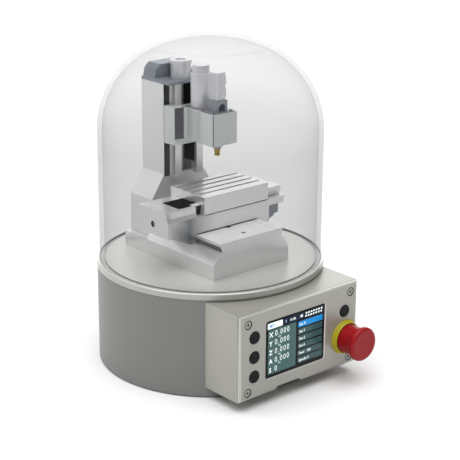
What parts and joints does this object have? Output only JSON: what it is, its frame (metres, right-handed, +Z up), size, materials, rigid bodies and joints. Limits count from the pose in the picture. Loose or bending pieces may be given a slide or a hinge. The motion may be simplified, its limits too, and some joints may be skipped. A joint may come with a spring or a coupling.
{
  "type": "desktop cnc router",
  "caption": "Miniature three-axis milling machine on a round drum under a clear lift-off dome, with a front control box, screen, push buttons and emergency stop.",
  "frame": {"origin": "on the floor, on the axis of the drum", "axes": "+Z up along the drum's axis; the control box faces -Y; +X is to the right of a person facing the control box"},
  "size_m": [0.226, 0.2725, 0.3264],
  "materials": {
    "floor_rubber": "matte black rubber",
    "seal_rubber": "soft black rubber",
    "belt_rubber": "toothed belt rubber",
    "plain_aluminium": "mill finish",
    "drum_grey": "satin grey anodised",
    "rim_silver": "bead-blasted silver",
    "box_silver": "bead-blasted silver",
    "screen_glass": "gloss black with a lit display",
    "circuit_board": "green solder mask",
    "screw_steel": "bright steel",
    "yellow_plastic": "satin yellow",
    "red_plastic": "satin red",
    "black_plastic": "satin black",
    "black_button": "black with turned rings",
    "black_guard": "black",
    "heat_sink": "dark anodised fins",
    "machined_aluminium": "fine milled",
    "head_grey": "satin anodised",
    "cover_grey": "dark grey",
    "bracket_grey": "blue-grey",
    "motor_grey": "pale grey can",
    "ground_rail": "ground bright",
    "brass": "turned brass",
    "dome_acrylic": "clear acrylic"
  },
  "bodies": {
    "enclosure": {"base_pad": "floor_rubber", "floor_plate": "plain_aluminium", "drum_shell": "drum_grey", "rim_plate": "rim_silver", "wire_grommet": "seal_rubber", "dome_gasket": "seal_rubber", "control_box": "box_silver", "screen_glass": "screen_glass", "display_module": "circuit_board", "panel_screws": "screw_steel", "box_posts": "plain_aluminium", "switch_boards": "circuit_board", "estop_collar": "yellow_plastic", "estop_body": "black_plastic", "estop_nut": "black_plastic", "rear_panel": "drum_grey", "power_inlet": "black_plastic", "power_supply": "plain_aluminium", "board_standoffs": "brass", "control_board": "circuit_board", "motor_drivers": "heat_sink", "machine_base": "machined_aluminium", "base_bolts": "screw_steel", "y_motor": "motor_grey", "column": "machined_aluminium", "column_cover": "machined_aluminium", "z_rails": "ground_rail", "screw_guard": "black_guard", "z_bracket": "bracket_grey", "z_motor": "motor_grey"},
    "dome_cover": {"dome": "dome_acrylic"},
    "left_top_button": {"button_left_top": "black_button"},
    "left_middle_button": {"button_left_middle": "black_button"},
    "left_bottom_button": {"button_left_bottom": "black_button"},
    "right_button": {"button_right": "black_button"},
    "estop_stem": {"estop_plunger": "black_plastic"},
    "estop_head": {"estop_cap": "red_plastic"},
    "y_leadscrew": {"y_screw": "screw_steel"},
    "cross_slide": {"saddle": "machined_aluminium", "saddle_end_plate": "machined_aluminium", "tail_bracket": "bracket_grey", "x_motor": "motor_grey", "y_nut": "brass"},
    "x_leadscrew": {"x_screw": "screw_steel"},
    "work_table": {"table": "machined_aluminium", "x_nut": "brass"},
    "z_leadscrew": {"z_screw": "screw_steel"},
    "milling_head": {"head": "head_grey", "z_nut": "brass", "head_cover": "cover_grey", "cover_screws": "screw_steel", "spindle_motor": "motor_grey", "spindle_bearings": "screw_steel", "drive_belt": "belt_rubber", "release_bracket": "bracket_grey", "release_unit": "motor_grey"},
    "spindle_rotor": {"spindle": "screw_steel", "spindle_pulley": "plain_aluminium", "collet": "brass"},
    "drive_pulley": {"motor_pulley": "plain_aluminium"}
  },
  "joints": [
    {"name": "dome_lift", "type": "slide", "parent": "enclosure", "child": "dome_cover", "axis": [0, 0, 1], "range_m": [0, 0.21]},
    {"name": "left_top_press", "type": "slide", "parent": "enclosure", "child": "left_top_button", "axis": [0, 1, 0], "range_m": [0, 0.0015], "stiffness_N_per_m": 400, "springref_m": -0.001},
    {"name": "left_middle_press", "type": "slide", "parent": "enclosure", "child": "left_middle_button", "axis": [0, 1, 0], "range_m": [0, 0.0015], "stiffness_N_per_m": 400, "springref_m": -0.001},
    {"name": "left_bottom_press", "type": "slide", "parent": "enclosure", "child": "left_bottom_button", "axis": [0, 1, 0], "range_m": [0, 0.0015], "stiffness_N_per_m": 400, "springref_m": -0.001},
    {"name": "right_press", "type": "slide", "parent": "enclosure", "child": "right_button", "axis": [0, 1, 0], "range_m": [0, 0.0015], "stiffness_N_per_m": 400, "springref_m": -0.001},
    {"name": "estop_push", "type": "slide", "parent": "enclosure", "child": "estop_stem", "axis": [0, 1, 0], "range_m": [0, 0.0045]},
    {"name": "estop_twist", "type": "hinge", "parent": "estop_stem", "child": "estop_head", "pos_m": [0.0587, -0.15, 0.0419], "axis": [0, -1, 0], "range_deg": [0, 45], "stiffness_Nm_per_rad": 0.02, "springref_deg": -11.46},
    {"name": "y_slide", "type": "slide", "parent": "enclosure", "child": "cross_slide", "axis": [0, 1, 0], "range_m": [-0.022, 0.0155]},
    {"name": "x_slide", "type": "slide", "parent": "cross_slide", "child": "work_table", "axis": [1, 0, 0], "range_m": [-0.0075, 0.0215]},
    {"name": "z_slide", "type": "slide", "parent": "enclosure", "child": "milling_head", "axis": [0, 0, 1], "range_m": [-0.03, 0.018]},
    {"name": "y_screw_turn", "type": "hinge", "parent": "enclosure", "child": "y_leadscrew", "pos_m": [0, 0, 0.1149], "axis": [0, 1, 0], "range_deg": [-4000, 3000]},
    {"name": "x_screw_turn", "type": "hinge", "parent": "cross_slide", "child": "x_leadscrew", "pos_m": [0, -0.0032, 0.1519], "axis": [1, 0, 0], "range_deg": [-1400, 3900]},
    {"name": "z_screw_turn", "type": "hinge", "parent": "enclosure", "child": "z_leadscrew", "pos_m": [0, 0.046, 0.2], "axis": [0, 0, 1], "range_deg": [-5500, 3300]},
    {"name": "spindle_spin", "type": "hinge", "parent": "milling_head", "child": "spindle_rotor", "pos_m": [0, -0.01, 0.22], "axis": [0, 0, 1], "continuous": true},
    {"name": "pulley_spin", "type": "hinge", "parent": "milling_head", "child": "drive_pulley", "pos_m": [0, 0.0148, 0.245], "axis": [0, 0, 1], "continuous": true}
  ],
  "couplings": [
    {"joint": "y_screw_turn", "follows": "y_slide", "rad_per_m": 3141.6},
    {"joint": "x_screw_turn", "follows": "x_slide", "rad_per_m": 3141.6},
    {"joint": "z_screw_turn", "follows": "z_slide", "rad_per_m": 3141.6},
    {"joint": "pulley_spin", "follows": "spindle_spin", "ratio": 1}
  ]
}
